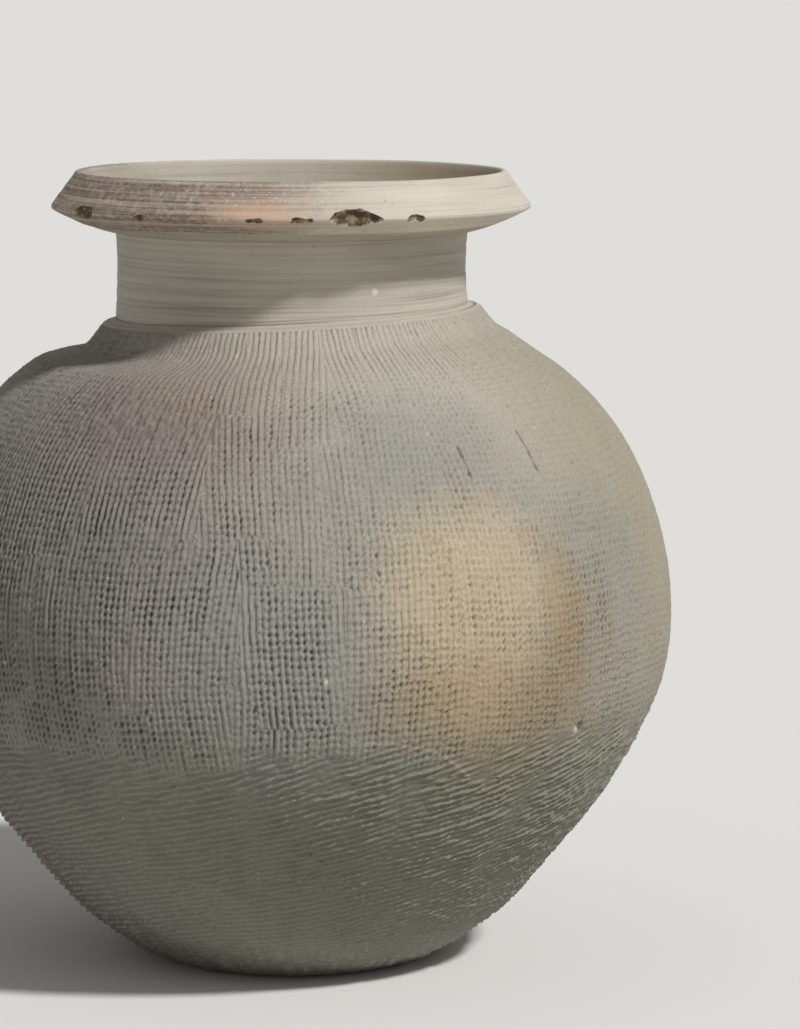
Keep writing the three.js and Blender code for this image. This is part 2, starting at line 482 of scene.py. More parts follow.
def ring_object(name, parts, layers):
    """A closed ring from parts, each (points, normals) in rows; the parts follow each other
    round the ring's section. Layers may be given for its first rows only, and are 0 elsewhere."""
    points = np.concatenate([part[0] for part in parts])
    normals = np.concatenate([part[1] for part in parts])
    rows, columns = points.shape[:2]
    full = {layer: np.zeros((rows, columns)) for layer in layers}
    for layer, values in layers.items():
        full[layer][: len(values)] = values
    faces = ring_faces(rows, columns)
    return clay_object(name, points.reshape(-1, 3), [faces], normals.reshape(-1, 3), full)


def finish_piece(piece, node, material):
    """Gives a piece its clay, hangs it on the body and hides the solid that it stands for."""
    piece.data.materials.append(material)
    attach(piece, BODY)
    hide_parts(node)


# Cord marks


def chance(seed, *numbers):
    """A repeatable random number from 0 to 1 for each set of whole numbers: the fraction of a
    large multiple of the sine of their weighted sum."""
    total = seed * 4.1414
    for number, weight in zip(numbers, (12.9898, 78.233, 37.719)):
        total = total + number * weight
    value = np.sin(total) * 43758.5453
    return value - np.floor(value)


def wave(cycles, sharpness):
    """1 at whole cycles and 0 between them: a raised cosine to a power."""
    return (0.5 + 0.5 * np.cos(TURN * cycles)) ** sharpness


class Stretch:
    """The places on a stretch of the body's visible face: rows of courses up and columns of
    angles.

    `down` is the length down from the shelf's edge, `right` is 0 at the front and 1 at the side
    angle, and `high` grows by 1 for each wear rise above the height where wear starts.
    """

    def __init__(self, along, turn, sizes):
        point, _ = face_line(along, sizes)
        self.along = along[:, None]
        self.turn = turn
        self.radius = point[:, 0, None]
        self.height = point[:, 1, None]
        self.down = fall(along, sizes)[:, None]
        self.right = np.sin(turn - math.radians(FRONT)) / math.sin(math.radians(SIDE_ANGLE))
        self.high = (self.height - WEAR_START) / WEAR_RISE

    def noise(self, round_cells, cell, seed):
        """Noise in cells of that many round the jar and that many millimetres down."""
        return lattice_noise(self.turn, self.down, round_cells, cell * MM, seed)


def patches(turn, radius, count, row, seed):
    """Shares a row of marks out into `count` patches round the jar, staggered from row to row.

    Returns each patch's number, the distance over the surface from its middle, and how near the
    middle a point is, from 0 at the sides to 1.
    """
    across = turn / TURN * count + 0.5 * (row % 2)
    across = across + 0.08 * lattice_noise(turn, row * 9 * MM + radius, 60, 9 * MM, seed)
    patch = np.floor(across)
    centre = (patch + 0.5 - 0.5 * (row % 2)) / count * TURN
    inside = smooth(0.5, 0.3, np.abs(across - patch - 0.5))
    return row * 40 + patch % count, (turn - centre) * radius, inside


def mark_rows(sizes, marks):
    """The rows of upright marks from the shelf down: the length down to the middle of each, the
    body's radius there, and how many patches go round."""
    rows = np.arange(MARK_ROWS)
    middle = (rows + 0.5) * marks.patch_height
    places = np.linspace(0, COURSES, COARSE_PLACES)[::-1]
    radius = np.interp(middle, fall(places, sizes), face_line(places, sizes)[0][:, 0])
    widths = np.where(rows == 0, TOP_PATCH_SHARE, 1) * marks.patch_width
    return middle, radius, np.maximum(np.round(TURN * radius / widths), 6)


def cord_hollows(stretch, row, pits, crest, loose, sizes, marks):
    """How hollow the cord's upright marks are: 0 on a ridge, about 1 in a pit.

    The marks of a patch run parallel at the cord's pitch, tilted a little, so they fan out from
    patch to patch; in the top row they draw together upwards. Each mark is a groove with
    slanting pits: `pits` says how far it closes between them, and `crest`, below 1, makes the
    ridges thin. Fine cross cuts part the ridges into beads. Here and there the windings lay
    apart, more often where they are `loose`, and left narrow, open grooves.
    """
    middle, middle_radius, counts = mark_rows(sizes, marks)
    index = np.clip(row, 0, MARK_ROWS - 1).astype(int)
    key, x, inside = patches(stretch.turn, stretch.radius, counts[index], index, 1)
    tilt = 0.16 * (chance(2, key) - 0.5)
    sway = 0.28 * stretch.noise(26, 34, 3) + 0.09 * stretch.noise(300, 5, 33)
    fan = np.where(index == 0, np.sqrt(middle_radius[index] / stretch.radius), 1)
    lean = tilt * (stretch.down - middle[index])
    column = (fan * x + lean) / marks.pitch + chance(4, key) + sway
    number = np.round(column)
    offset = column - number

    drift = 0.2 * chance(5, key, number) + 0.12 * (chance(6, key) - 0.5) * number
    jitter = 0.2 * stretch.noise(400, 4, 7)
    pit_line = stretch.down / marks.pit_pitch + chance(8, key) + drift + 0.4 * offset + jitter
    cell = np.round(pit_line)
    along_pit = pit_line - cell

    apart = loose * smooth(0.35, 0.75, stretch.noise(260, 18, 9))
    strong = 0.75 + 0.45 * chance(10, key, number)
    closed = pits * (1 - 0.7 * apart)
    groove = strong * wave(offset, crest + 0.9 * apart)
    pit = wave(along_pit, 1.1) * (0.4 + 0.95 * chance(11, key, number, cell))
    cut = pits * (1 - apart) * wave(along_pit, 3) * (0.3 + 0.5 * chance(37, key, number, cell))
    return np.maximum(groove * (1 - closed + closed * pit), cut) * lerp(0.72, 1, inside)


def upright_marks(stretch, stroke, clean, sizes, marks):
    """How hollow the upright marks are.

    Each stroke's rows begin at a height of their own. Where the marks are `clean` they are long
    lines with thick ridges and few pits, and at the upper left crossing blows left cobbles.
    """
    uneven = 22 * MM * (chance(31, stroke) - 0.5) + 3 * MM * stretch.noise(90, 6, 21)
    descent = (stretch.down + uneven) / marks.patch_height
    row = np.floor(descent)
    pits = lerp(lerp(0.62, 0.74, smooth(-0.3, 0.6, stretch.right)), 0.12, clean)
    plain = smooth(-1.1, 0.6, stretch.right + 0.5 * stretch.high)
    crest = lerp(0.75, 2.1, np.maximum(plain, clean))
    loose = smooth(0.8, -0.2, stretch.right)
    hollow = cord_hollows(stretch, row, pits, crest, loose, sizes, marks)
    clusters = 1 + 0.3 * stretch.noise(44, 15, 22)
    near_end = smooth(0.5, 0.44, np.abs(descent - row - 0.5))
    hollow = hollow * lerp(clusters, 1, clean) * lerp(0.75, 1, near_end)

    cobbles = 0.5 + 0.7 * stretch.noise(390, 2.3, 35)
    beaten = smooth(0.1, 0.6, stretch.noise(20, 26, 36)) * (1 - clean)
    beaten = beaten * smooth(0.6, -0.4, stretch.right)
    beaten = beaten * smooth(150 * MM, 185 * MM, stretch.height)
    return lerp(hollow, cobbles, 0.45 * beaten)


def oblique_marks(stretch, marks):
    """How hollow the oblique marks are: 0 on ridges that climb to the right, 1 between them.
    The ridges swell and sink along their length and break off at the sides of a patch."""
    descent = (stretch.down + 5 * MM * stretch.noise(21, 30, 12)) / marks.patch_height
    row = np.floor(descent + 0.35)
    key, x, inside = patches(stretch.turn, stretch.radius, OBLIQUE_PATCHES, row, 13)
    climb = marks.oblique_climb + 0.14 * (chance(14, key) - 0.5)
    sway = 0.3 * stretch.noise(30, 22, 15) + 0.16 * stretch.noise(170, 5, 34)
    column = (stretch.down + climb * x) / marks.oblique_pitch + chance(16, key) + sway
    number = np.round(column)
    tall = 0.72 + 0.45 * lattice_noise(stretch.turn, number * MM, 180, 1 * MM, 17)
    beads = 0.25 * lattice_noise(stretch.turn, number * MM, 560, 1 * MM, 18)
    ridge = wave(column - number, 2.6) * (tall + beads) * lerp(0.35, 1, inside)
    return 0.9 * np.clip(1 - ridge, 0, 1.1)


def upright_share(stretch, stroke, marks):
    """0 where the marks are oblique and 1 where they are upright. The border is ragged, and
    each stroke crosses it at a height of its own."""
    ragged = 8 * MM * stretch.noise(17, 30, 23) + 4 * MM * stretch.noise(110, 6, 24)
    ragged = ragged + 9 * MM * (chance(38, stroke) - 0.5)
    return smooth(-7 * MM, 6 * MM, stretch.height - marks.change + ragged)


def wear(stretch):
    """How strong the marks are and how clean.

    They are strongest at the far left and rubbed to a third at the upper right. They are clean
    just under the shelf, except at the left.
    """
    drift = stretch.noise(11, 55, 20)
    faint = 0.3 * stretch.noise(40, 21, 39) * smooth(-0.2, 0.3, stretch.right)
    rubbed = 0.5 * stretch.right + 0.75 * stretch.high + 0.35 * drift + faint
    strength = lerp(1, 0.34, smooth(-0.2, 1.5, rubbed))
    strength = strength * lerp(1.25, 1, smooth(-1.6, -0.5, stretch.right))
    near_shelf = 1 - smooth(12 * MM, 36 * MM, stretch.down + 10 * MM * drift)
    return strength, near_shelf * smooth(-1.15, -0.5, stretch.right)


def segment_distance(stretch, start, end, sizes):
    """Distance over the surface from each point to the line between two places on the body."""
    turn_a, down_a, radius = on_body(*start, sizes)
    turn_b, down_b, _ = on_body(*end, sizes)
    x, y = wrapped(stretch.turn - turn_a) * radius, stretch.down - down_a
    run, drop = (turn_b - turn_a) * radius, down_b - down_a
    share = np.clip((x * run + y * drop) / (run**2 + drop**2), 0, 1)
    return np.hypot(x - share * run, y - share * drop)


def spot_distance(stretch, place, sizes):
    """Distance over the surface from each point to a place on the body."""
    turn_a, down_a, radius = on_body(*place, sizes)
    return np.hypot(wrapped(stretch.turn - turn_a) * radius, stretch.down - down_a)


def scars(stretch, sizes):
    """Depth in metres and paleness from 0 to 1 of the body's slits, crack, spall and specks."""
    depth = np.zeros(np.broadcast_shapes(stretch.turn.shape, stretch.down.shape))
    pale = np.zeros_like(depth)
    dashes = 0.85 + 0.6 * stretch.noise(9, 1.5, 29)
    for start, end in SLITS:
        slit = bell(segment_distance(stretch, start, end, sizes), SLIT_HALF_WIDTH)
        depth += SLIT_DEPTH * dashes * slit
    for start, end in zip(CRACK[:-1], CRACK[1:]):
        crack = bell(segment_distance(stretch, start, end, sizes), CRACK_HALF_WIDTH)
        pale = np.maximum(pale, CRACK_PALENESS * crack)
        depth = np.maximum(depth, CRACK_DEPTH * crack)
    depth += SPALL_DEPTH * smooth(SPALL_RIM, SPALL_FLOOR, spot_distance(stretch, SPALL, sizes))
    for degrees, height, radius in PALE_SPECKS:
        spot = spot_distance(stretch, (degrees, height), sizes)
        spot = spot * (1 + 0.5 * stretch.noise(700, 1.2, 19))
        pale = np.maximum(pale, smooth(1.2 * radius * MM, 0.5 * radius * MM, spot))
    return depth, pale


def body_marks(along, turn, sizes, marks):
    """Relief in metres, hollow share, painted as soil and shade, and paleness of a stretch of the
    visible face.

    Upright cord marks cover the body above the change height and oblique ones below it. Here
    and there a blow bit deeper just under the shelf. Under the marks lie broad dents and a fine
    grain, and below the shelf the shoulder sinks a little under the courses' line.
    """
    stretch = Stretch(along, turn, sizes)
    strength, clean = wear(stretch)
    stroke = np.floor(turn / TURN * STROKES + 0.2 * stretch.noise(70, 7, 30)) % STROKES
    upright = upright_marks(stretch, stroke, clean, sizes, marks)
    change = upright_share(stretch, stroke, marks)
    hollow = lerp(oblique_marks(stretch, marks), upright, change)

    down = stretch.down
    start = smooth(0.3 * MM, 0.8 * MM, down)
    foot = smooth(0, 0.35, stretch.along)
    bite = 1 + 1.3 * np.exp(-np.maximum(down, 0) / (1.4 * MM)) * chance(25, np.round(turn * 40))
    depth = marks.depth * strength * bite * start * foot * hollow
    settle = smooth(0, 0.5, stretch.along) * smooth(0, 60 * MM, down)
    dents = 0.3 * MM * stretch.noise(15, 42, 26) + 0.13 * MM * stretch.noise(36, 19, 27)
    fine, coarse = stretch.noise(760, 1.2, 28), stretch.noise(330, 2.6, 32)
    grain = 0.1 * MM * fine + 0.17 * MM * strength * coarse
    cuts, pale = scars(stretch, sizes)
    eased = 0.8 * MM * bell(down - 20 * MM, 9 * MM)
    relief = dents * settle + grain * start * foot - eased - np.maximum(depth, cuts)
    # The hollow layer: depth of marks and cuts, painted as shade, less in the oblique marks.
    shade = np.maximum(depth / marks.depth * lerp(0.72, 1, change), cuts / DARK_CUT)
    return relief, shade, pale


# Pieces of the jar


def body_columns(finer=1):
    """The angles of the body's columns, as one row."""
    return np.linspace(0, TURN, finer * AROUND, endpoint=False)[None, :]


def marked_face(start, end, rows, sizes, marks):
    """Points, normals, hollow and paleness of a stretch of the visible face in even rows.

    It is worked out at twice the density and a step past both ends, so that its normals are
    true and run on into the next stretch, and then thinned and trimmed.
    """
    turn = body_columns(2)
    step = (end - start) / (rows - 1) / 2
    along = start + step * np.arange(-1, 2 * rows)
    point, normal = face_line(along, sizes)
    relief, shade, pale = body_marks(along, turn, sizes, marks)
    face = raised(point, normal, relief, turn, sizes)
    return tuple(part[1:-1:2, ::2] for part in (face, grid_normals(face), shade, pale))


def plain_face(points, turn, sizes):
    """Points and normals of a line turned about Z without marks."""
    face = turned(points[:, 0, None], points[:, 1, None], turn, sizes)
    return face, grid_normals(face)


def hidden_line(rows, sizes):
    """Points under the band from its lower edge to the neck's foot, a little inside the top
    course, where nothing shows."""
    along = np.linspace(BAND_START + 0.02, COURSES, rows)
    point, normal = course_line(along, sizes)
    sunk = 1 * MM * smooth(COURSES, COURSES - 0.1, along)
    return point - normal * sunk[:, None]


def wall_course(course, sizes, marks):
    """One wall course: its marked outer face, its sloping joints and its plain inner face."""
    top = BAND_START if course == COURSES - 1 else course + 1
    outer, normals, shade, pale = marked_face(course, top, COURSE_ROWS[course], sizes, marks)
    turn = body_columns()
    within = course + 1 - JOINT_SLOPE - np.arange(-1, INNER_ROWS + 1) / (INNER_ROWS - 1)
    point, normal = course_line(within, sizes)
    point = point - normal * sizes.wall
    parts = [(outer, normals)]
    if course == COURSES - 1:
        parts.append(plain_face(hidden_line(BAND_ROWS["hidden"], sizes), turn, sizes))
        foot = (sizes.neck_foot - sizes.neck_wall, sizes.body_height - sizes.foot_drop)
        point = np.vstack([foot + (foot - point[1]), foot, point[1:]])
    inner, inner_normals = plain_face(point, turn, sizes)
    parts.append((inner[1:-1], inner_normals[1:-1]))
    layers = {"hollow": shade, "pale": pale}
    return ring_object(f"course_{course + 1}_clay", parts, layers)


def base_pad(sizes):
    """The pad under the first course: a scraped resting face, the sloping joint and a level
    inner face, each a fan of rows closed by a pole."""
    turn = body_columns()[:, ::4]
    inner_radius = sizes.rest_radius - JOINT_SLOPE * (course_joints(sizes)[1, 0] - sizes.rest_radius)
    share = np.linspace(1 / BASE_ROWS[0], 1, BASE_ROWS[0])[:, None]
    under = share * sizes.rest_radius
    scraped = 0.22 * MM * (0.5 + 0.5 * lattice_noise(turn, under, 23, 5 * MM, 31))
    scraped = scraped * smooth(1, 0.86, share) + 0.25 * MM * smooth(0.8, 0.2, share)
    bottom = turned(under, scraped, turn, sizes)
    share = np.linspace(1, 1 / BASE_ROWS[1], BASE_ROWS[1])[:, None]
    top = turned(share * inner_radius, np.full_like(share, sizes.wall), turn, sizes)
    rings = np.concatenate([bottom, top])
    rows, columns = rings.shape[:2]
    pole = rows * columns
    poles = np.array([(0, 0, 0.35 * MM), (0, 0, sizes.wall)])
    points = np.vstack([rings.reshape(-1, 3), poles])
    side = np.arange(columns)
    beside = (side + 1) % columns
    last = (rows - 1) * columns
    floor_fan = np.stack([side, np.full(columns, pole), beside], axis=-1)
    roof_fan = np.stack([last + side, last + beside, np.full(columns, pole + 1)], axis=-1)
    blocks = [ring_faces(rows, columns, closed=False), floor_fan, roof_fan]
    normals = np.concatenate([grid_normals(bottom), grid_normals(top)]).reshape(-1, 3)
    normals = np.vstack([normals, (0, 0, -1), (0, 0, 1)])
    layers = {"hollow": np.zeros(pole + 2), "pale": np.zeros(pole + 2)}
    return clay_object("base_pad_clay", points, blocks, normals, layers)


def turning_lines(turn, up, seed):
    """Fine level lines from -1 to 1: noises of height that change slowly round the jar."""
    fine = lattice_noise(turn, up, 5, 0.8 * MM, seed)
    broad = lattice_noise(turn, up, 7, 2.1 * MM, seed + 1)
    return 0.6 * fine + 0.5 * broad


def neck_radius(height, sizes):
    """Outside radius of the neck: a power curve down from the waist to the foot, a parabola
    up from the waist to the top."""
    waist = sizes.body_height + sizes.waist_rise
    below = np.clip((waist - height) / sizes.waist_rise, 0, 1) ** 1.6
    above = np.clip((height - waist) / (sizes.neck_height - sizes.waist_rise), 0, 1) ** 2
    widen = (sizes.neck_foot - sizes.neck_waist) * below
    return sizes.neck_waist + widen + (sizes.neck_top - sizes.neck_waist) * above


# Grooves turned into the neck: height above the band's top, depth and half width, in millimetres.
NECK_GROOVES = (
    (0.25, 0.6, 0.36),
    (1.5, 0.2, 0.28),
    (6.3, 0.22, 0.32),
    (7.4, 0.14, 0.32),
    (11.5, 0.1, 0.5),
    (16, 0.1, 0.5),
)


def neck_collar(sizes, marks):
    """The neck: its waisted outside with turned lines and grooves, and its plain inside."""
    turn = np.linspace(0, TURN, NECK_COLUMNS, endpoint=False)[None, :]
    foot, top = sizes.body_height, sizes.body_height + sizes.neck_height
    band_top = foot + sizes.band_rise
    shown = lerp(band_top - 0.6 * MM, top, np.linspace(0, 1, NECK_ROWS[0] - 1) ** 1.5)
    height = np.concatenate([[foot], shown])[:, None]
    relief = marks.turning * turning_lines(turn, height, 51)
    relief = relief + 0.2 * MM * lattice_noise(turn, height, 9, 20 * MM, 53)
    waver = 0.25 * MM * lattice_noise(turn, np.zeros_like(turn), 19, 1, 54)
    for rise, depth, width in NECK_GROOVES:
        fade = 0.65 + 0.6 * lattice_noise(turn, np.full_like(turn, rise * MM), 12, 0.4 * MM, 55)
        groove = bell(height - band_top - rise * MM + waver, width * MM)
        relief = relief - depth * MM * np.clip(fade, 0, 1.2) * groove
    relief = relief * smooth(foot, band_top, height) * smooth(top, top - 1.5 * MM, height)
    # The grooves' depth darkens them as painted shade.
    hollow = np.clip(-relief / (0.4 * MM), 0, 1)
    outer = turned(neck_radius(height, sizes) + relief, height, turn, sizes)

    low = foot - sizes.foot_drop
    within = np.linspace(top - sizes.top_drop, low, NECK_ROWS[1])[:, None]
    inner_radius = neck_radius(np.maximum(within, foot), sizes) - sizes.neck_wall
    inner_relief = 0.12 * MM * turning_lines(turn, within, 57) * smooth(low, low + 1.2 * MM, within)
    inner = turned(inner_radius + inner_relief, within, turn, sizes)
    parts = [(face, grid_normals(face)) for face in (outer, inner)]
    return ring_object("neck_clay", parts, {"hollow": hollow, "pale": np.zeros_like(hollow)})


def seam_band(sizes, marks):
    """The band over the seam: its cord-marked slope, a small rounded corner, the smoothed shelf
    with one fine groove, and the hidden underside."""
    turn = body_columns()
    edge = shelf_edge(sizes)
    crown = COURSES - 0.03
    rows = BAND_ROWS["slope"]
    slope, slope_normals, shade, pale = marked_face(BAND_START, crown, rows, sizes, marks)
    below = face_line(np.array([crown]), sizes)[0][0]
    neck_side = np.array((sizes.neck_foot, sizes.body_height + sizes.band_rise))
    inwards = (neck_side - edge) / np.linalg.norm(neck_side - edge)
    beyond = edge + inwards * 0.8 * MM
    bend = np.linspace(0, 1, BAND_ROWS["corner"] + 1)[1:, None]
    corner = (1 - bend) ** 2 * below + 2 * bend * (1 - bend) * edge + bend**2 * beyond
    share = np.linspace(0, 1, BAND_ROWS["shelf"] + 1)[1:, None]
    shelf = lerp(beyond, neck_side + inwards * 0.6 * MM, share)
    top = np.concatenate([corner, shelf])
    radius, height = top[:, 0, None], top[:, 1, None]
    out = (radius - sizes.neck_foot) / MM
    smear = 0.1 * MM * lattice_noise(turn, radius, 40, 0.9 * MM, 61)
    waver = 0.3 * lattice_noise(turn, np.zeros_like(turn), 19, 1, 62)
    fading = 0.35 + 0.65 * smooth(-0.2, 0.4, lattice_noise(turn, out, 9, 50, 63))
    groove = 0.6 * MM * bell(out - 2.1 + waver, 0.42) * fading
    relief = (smear - groove) * smooth(4.2, 3.4, out)
    flat = turned(radius, height + relief, turn, sizes)
    under = plain_face(hidden_line(BAND_ROWS["hidden"], sizes)[::-1], turn, sizes)
    parts = [(slope, slope_normals), (flat, grid_normals(flat)), under]
    # The shelf's groove is darkened by its depth as painted shade.
    hollow = np.concatenate([shade, np.clip(groove / (0.35 * MM), 0, 1)])
    flat_share = np.broadcast_to(smooth(4.6, 3.6, out), groove.shape)
    flatness = np.concatenate([np.zeros_like(shade), flat_share])
    layers = {"hollow": hollow, "pale": pale, "smoothed": flatness}
    return ring_object("seam_band_clay", parts, layers)


def arc(centre, radius, start, end, rows):
    """Points on a circle from one direction to another, in degrees."""
    direction = np.radians(np.linspace(start, end, rows))
    return centre + radius * np.stack([np.cos(direction), np.sin(direction)], axis=1)


def sagging_line(start, end, rows, sag=0, crowd=1):
    """Points from start to end that sag below the straight line by a sine; a `crowd` above 1
    draws them towards the end."""
    share = (1 - (1 - np.linspace(0, 1, rows)) ** crowd)[:, None]
    drop = sag * np.sin(np.pi * share) * np.array([[0, 1]])
    return lerp(np.array(start), np.array(end), share) - drop


def rim_section(sizes):
    """The rim's section from the neck's outside round to its inside, with the name of the part
    that each row belongs to."""
    foot = sizes.body_height + sizes.neck_height
    edge_radius = sizes.crest_radius + sizes.overhang
    edge_centre = np.array((edge_radius - sizes.edge_round, foot + sizes.edge_rise))
    crest_height = foot + sizes.rim_height - sizes.crest_round
    crest_centre = np.array((sizes.crest_radius - sizes.crest_round / 2, crest_height))
    edge = arc(edge_centre, sizes.edge_round, -70, 38, RIM_ROWS["edge"])
    crest = arc(crest_centre, sizes.crest_round, 38, 142, RIM_ROWS["crest"])
    start = (sizes.neck_top, foot)
    end = (sizes.neck_top - sizes.neck_wall, foot - sizes.top_drop)
    underside = sagging_line(start, edge[0], RIM_ROWS["underside"] + 1, sizes.underside_sag, 1.7)
    bevel = sagging_line(crest[0], edge[-1], RIM_ROWS["bevel"] + 2, 0, 1.35)
    flare = sagging_line(crest[-1], end, RIM_ROWS["flare"] + 1, sizes.flare_sag)
    sections = {
        "underside": underside[:-1],
        "edge": edge,
        "bevel": bevel[1:-1][::-1],
        "crest": crest,
        "flare": flare[1:],
    }
    names = np.concatenate([np.full(len(rows), name) for name, rows in sections.items()])
    return np.concatenate(list(sections.values())), names


def crowded_turn(columns, centre, width, crowd):
    """Angles round the jar, closer together within `width` of `centre`: equal steps of the
    running sum of a density that is 1 plus `crowd` there."""
    angle = np.linspace(-np.pi, np.pi, ANGLES)
    density = 1 + crowd * smooth(width, 0.7 * width, np.abs(wrapped(angle - centre)))
    total = np.concatenate([[0], np.cumsum((density[1:] + density[:-1]) / 2)])
    wanted = np.linspace(0, total[-1], columns, endpoint=False)
    return np.interp(wanted, total, angle)[None, :]


def chip_away(points, turn, up, sizes, marks):
    """Breaks the chips out of the rim's edge.

    A chip is a tilted ball with its own length and depth, roughened by noise. A point inside
    it moves inwards and up until it lies on the ball. Returns the points and how freshly
    broken each is, from 0 to 1.
    """
    edge_radius = sizes.crest_radius + sizes.overhang
    edge_height = sizes.body_height + sizes.neck_height + sizes.edge_rise
    rough = lattice_noise(turn, up, 190, 2.6 * MM, 71)
    rough = rough + 0.5 * lattice_noise(turn, up, 420, 1.3 * MM, 72)
    fresh = np.zeros(points.shape[:2])
    for place, long, deep, rise in CHIPS:
        angle = math.radians(place)
        outward = np.array((math.cos(angle), math.sin(angle), 0))
        side = np.array((-math.sin(angle), math.cos(angle), 0))
        centre = (edge_radius + deep * MM / 4) * outward + (0, 0, edge_height + rise * MM)
        tilt_out = math.cos(CHIP_TILT) * outward + (0, 0, -math.sin(CHIP_TILT))
        tilt_up = math.sin(CHIP_TILT) * outward + (0, 0, math.cos(CHIP_TILT))
        axes = np.stack([tilt_out, side, tilt_up]) / (np.array((deep, long / 2, deep))[:, None] * MM)
        size = 1 + marks.fracture / (deep * MM) * rough
        way = -CHIP_INWARDS * outward + (0, 0, CHIP_UP)
        place_in = (points - centre) @ axes.T / size[:, :, None]
        push = way @ axes.T / size[:, :, None]
        inside = np.sum(place_in**2, axis=2) < 1
        a = np.sum(push**2, axis=2)
        b = np.sum(place_in * push, axis=2)
        c = np.sum(place_in**2, axis=2) - 1
        travel = (np.sqrt(np.maximum(b**2 - a * c, 0)) - b) / a
        moved = points + travel[:, :, None] * way
        points = np.where(inside[:, :, None], moved, points)
        fresh = np.maximum(fresh, inside)
    return points, fresh


def rim_flange(sizes, marks):
    """The rim: a turned, bevelled ring with a nibbled and chipped lower edge."""
    middle, spread = math.radians(CHIPS_MIDDLE), math.radians(CHIPS_SPREAD)
    turn = crowded_turn(NECK_COLUMNS, middle, spread, CHIPS_CROWDING)
    section, names = rim_section(sizes)
    normal = side_normals(np.gradient(section, axis=0))
    run = running_length(section)
    up = run[:, None]
    left = smooth(0.1, 0.9, -np.sin(turn - math.radians(FRONT)) + 0.25)
    lines = turning_lines(turn, up, 81) * marks.turning * lerp(0.55, 1.3, left)
    coarse = smooth(0.35, 0.7, lattice_noise(turn, up, 6, 1.5 * MM, 83)) * 0.25 * MM * left
    bevel = (names == "bevel")[:, None]
    ends = smooth(0, 2 * MM, up) * smooth(run[-1], run[-1] - 2 * MM, up)
    relief = (lines - coarse * bevel) * ends
    relief = relief + 0.2 * MM * lattice_noise(turn, up, 13, 15 * MM, 84) * ends

    edge_run = run[names == "edge"].mean()
    level = np.zeros_like(turn)
    nibbles = np.maximum(lattice_noise(turn, level, 210, 1, 85) - 0.25, 0)
    nibbles = nibbles + 0.5 * np.maximum(lattice_noise(turn, level, 700, 1, 86) - 0.3, 0)
    bite = nibbles * lerp(0.12, 1, left) * 1.1 * MM
    relief = relief - bite * bell(up - edge_run, 1.1 * MM)
    points = raised(section, normal, relief, turn, sizes)
    points, fresh = chip_away(points, turn, up, sizes, marks)
    # The sunk bevel and turning lines are darkened as painted shade.
    hollow = np.clip((coarse * bevel - lines) / (0.4 * MM), 0, 1)
    pale = 0.45 * smooth(0.3 * MM, 0.7 * MM, bite) * bell(up - edge_run, 0.7 * MM)
    layers = {"hollow": hollow, "pale": pale * (1 - fresh), "fresh": fresh}
    return ring_object("rim_clay", [(points, grid_normals(points))], layers)


# Materials


class NodeTree:
    """Adds nodes and links to one node tree."""

    def __init__(self, tree):
        self.tree = tree

    def add(self, kind, inputs=None, **settings):
        """A new node; inputs are set from values or linked from sockets."""
        node = self.tree.nodes.new(kind)
        for name, value in settings.items():
            setattr(node, name, value)
        for name, value in (inputs or {}).items():
            self.feed(node.inputs[name], value)
        return node

    def feed(self, socket, value):
        """Links a socket from another, or sets its value."""
        if isinstance(value, bpy.types.NodeSocket):
            self.tree.links.new(value, socket)
        else:
            socket.default_value = value

    def maths(self, operation, first, second=0.0, third=0.0):
        """The result of one sum on numbers or sockets."""
        node = self.add("ShaderNodeMath", operation=operation)
        for socket, value in zip(node.inputs, (first, second, third)):
            self.feed(socket, value)
        return node.outputs[0]

    def vector(self, operation, first, second=(0, 0, 0)):
        """The outputs of one sum on vectors."""
        node = self.add("ShaderNodeVectorMath", operation=operation)
        self.feed(node.inputs[0], first)
        self.feed(node.inputs[1], second)
        return node.outputs

    def times(self, first, second):
        """The product of two numbers or sockets."""
        return self.maths("MULTIPLY", first, second)

    def ramp(self, value, low, high, start=0.0, end=1.0):
        """A smooth step from start to end as value goes from low to high."""
        inputs = {"Value": value, "From Min": low, "From Max": high, "To Min": start, "To Max": end}
        node = self.add("ShaderNodeMapRange", inputs, interpolation_type="SMOOTHSTEP")
        return node.outputs["Result"]

    def mix(self, share, first, second, blend="MIX"):
        """Two colours mixed by a share."""
        node = self.add("ShaderNodeMix", data_type="RGBA", blend_type=blend)
        for index, value in ((0, share), (6, first), (7, second)):
            self.feed(node.inputs[index], value)
        return node.outputs[2]

    def noise(self, place, scale, detail=4.0, rough=0.55, distortion=0.0):
        """A noise value at a place."""
        inputs = {"Vector": place, "Scale": scale, "Detail": detail, "Roughness": rough}
        return self.add("ShaderNodeTexNoise", {**inputs, "Distortion": distortion}).outputs["Fac"]

    def place(self):
        """The place on the object, in metres."""
        return self.add("ShaderNodeTexCoord").outputs["Object"]

    def stretched(self, place, scale):
        """A place scaled along each axis."""
        return self.add("ShaderNodeMapping", {"Vector": place, "Scale": scale}).outputs["Vector"]

    def layer(self, name):
        """A value kept with the piece's points."""
        return self.add("ShaderNodeAttribute", attribute_name=name).outputs["Fac"]


def new_group(name, inputs, outputs):
    """A shader node group with named sockets: each input is (name, kind, default)."""
    group = bpy.data.node_groups.new(name, "ShaderNodeTree")
    for label, kind, default in inputs:
        socket = group.interface.new_socket(label, in_out="INPUT", socket_type=kind)
        socket.default_value = default
    for label, kind in outputs:
        group.interface.new_socket(label, in_out="OUTPUT", socket_type=kind)
    tree = NodeTree(group)
    return group, tree, tree.add("NodeGroupInput").outputs, tree.add("NodeGroupOutput").inputs


